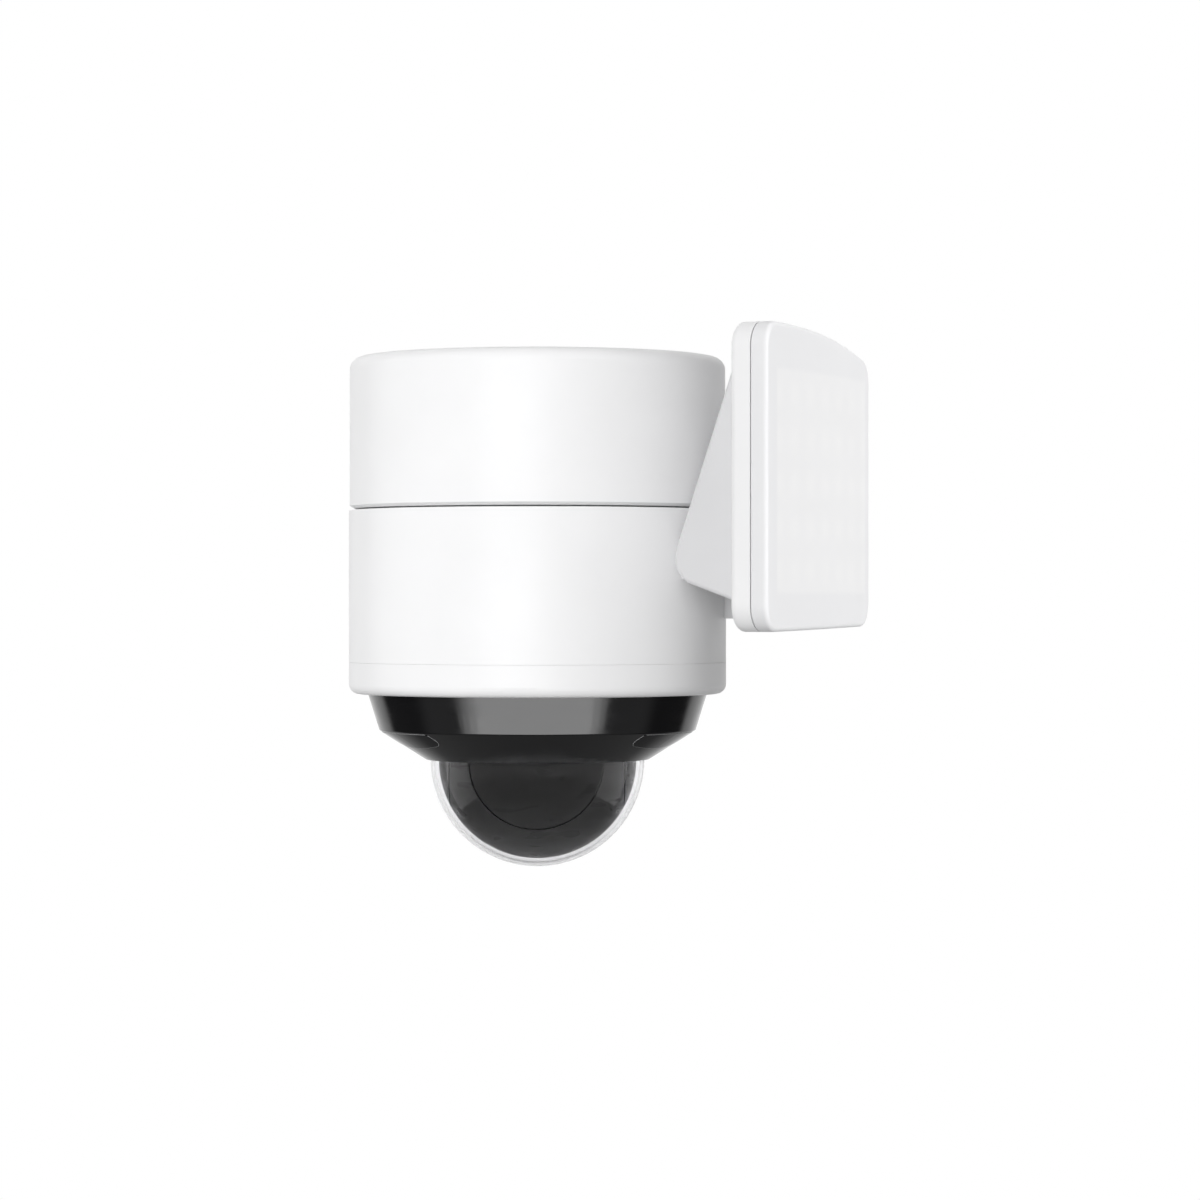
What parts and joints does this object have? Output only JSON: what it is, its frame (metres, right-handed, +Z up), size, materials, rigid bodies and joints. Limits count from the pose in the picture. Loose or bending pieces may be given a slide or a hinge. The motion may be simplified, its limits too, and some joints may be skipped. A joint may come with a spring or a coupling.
{
  "type": "floodlight security camera",
  "caption": "Wall-mounted floodlight camera: two-part swivelling drum, glossy sensor bezel, clear dome with a pan and tilt camera ball, and a tilting light panel on a side arm.",
  "frame": {"origin": "centre of the two junction-box screw holes, in the wall plane", "axes": "+Z up, -Y out from the wall towards the viewer of the device's front, +X to that viewer's right, where the light is"},
  "size_m": [0.1866, 0.1954, 0.1892],
  "materials": {
    "white_shell": "satin moulded white",
    "black_gloss": "high gloss black",
    "window_gloss": "infrared-clear black",
    "ball_gloss": "smooth dark",
    "clear_dome": "clear moulded polycarbonate",
    "opal": "opal front cover",
    "arm_shell": "fine-textured off-white plastic",
    "rubber_seal": "soft seal",
    "steel": "zinc plated",
    "motor_can": "plated can",
    "inner_plastic": "moulded dark",
    "gear_plastic": "natural acetal",
    "circuit_board": "solder mask",
    "sensor_can": "plated",
    "lens_black": "anodised look",
    "lens_element": "coated glass",
    "led_package": "phosphor",
    "lead_sheath": "insulation",
    "button_grey": "soft touch"
  },
  "bodies": {
    "mount": {"canopy": "white_shell", "wall_gasket": "rubber_seal", "junction_bar": "steel", "canopy_screws": "steel", "mount_neck": "white_shell", "neck_clamp_plate": "inner_plastic", "neck_screws": "steel", "supply_leads": "lead_sheath", "upper_shell": "white_shell", "upper_plate": "inner_plastic", "psu_board": "circuit_board", "power_components": "inner_plastic", "swivel_seal": "rubber_seal"},
    "housing": {"lower_shell": "white_shell", "swivel_clip": "steel", "trim_ring": "white_shell", "main_board": "circuit_board", "speaker": "inner_plastic", "chassis_plate": "inner_plastic", "chassis_screws": "steel", "pan_bush": "gear_plastic", "pan_motor": "motor_can", "bezel": "black_gloss", "sensor_windows": "window_gloss", "motion_sensors": "sensor_can", "dome_cover": "clear_dome", "dome_seal": "rubber_seal", "dome_clamp": "inner_plastic", "button_switch": "inner_plastic", "hinge_bracket": "arm_shell", "bracket_screws": "steel", "light_lead": "lead_sheath"},
    "button": {"sync_button": "button_grey"},
    "carriage": {"pan_hub": "inner_plastic", "pan_gear": "gear_plastic", "pan_yoke": "ball_gloss", "tilt_axles": "steel", "tilt_gear": "gear_plastic"},
    "pan_shaft": {"pan_pinion": "gear_plastic"},
    "camera_ball": {"ball_front": "ball_gloss", "ball_rear": "ball_gloss", "faceplate": "ball_gloss", "lens_barrel": "lens_black", "lens_glass": "lens_element", "image_board": "circuit_board", "ir_leds": "circuit_board", "tilt_motor": "motor_can"},
    "tilt_shaft": {"tilt_pinion": "gear_plastic"},
    "light": {"light_arm": "arm_shell", "hinge_pin": "steel", "pin_plug": "rubber_seal", "friction_washers": "steel", "panel_rear": "white_shell", "panel_seal": "rubber_seal", "front_cover": "opal", "light_mask": "white_shell", "led_board": "circuit_board", "leds": "led_package", "panel_screws": "steel"}
  },
  "joints": [
    {"name": "body_swivel", "type": "hinge", "parent": "mount", "child": "housing", "pos_m": [0, -0.105, 0], "axis": [0, 0, 1], "range_deg": [-180, 45]},
    {"name": "light_tilt", "type": "hinge", "parent": "housing", "child": "light", "pos_m": [0.07132, -0.13454, -0.018], "axis": [0.3827, 0.9239, 0], "range_deg": [-15, 45]},
    {"name": "camera_pan", "type": "hinge", "parent": "housing", "child": "carriage", "pos_m": [0, -0.105, -0.05], "axis": [0, 0, 1], "range_deg": [-175, 175]},
    {"name": "pan_drive", "type": "hinge", "parent": "housing", "child": "pan_shaft", "pos_m": [0, -0.0714, -0.045], "axis": [0, 0, 1], "range_deg": [-1060, 1060]},
    {"name": "camera_tilt", "type": "hinge", "parent": "carriage", "child": "camera_ball", "pos_m": [0, -0.105, -0.08935], "axis": [1, 0, 0], "range_deg": [-5, 90]},
    {"name": "tilt_drive", "type": "hinge", "parent": "camera_ball", "child": "tilt_shaft", "pos_m": [0.0255, -0.093, -0.08935], "axis": [1, 0, 0], "range_deg": [-20, 275]},
    {"name": "sync_press", "type": "slide", "parent": "housing", "child": "button", "axis": [-0.5, -0.866, 0], "range_m": [0, 0.0008], "stiffness_N_per_m": 300}
  ],
  "couplings": [
    {"joint": "pan_drive", "follows": "camera_pan", "ratio": -6},
    {"joint": "tilt_drive", "follows": "camera_tilt", "ratio": 3}
  ]
}
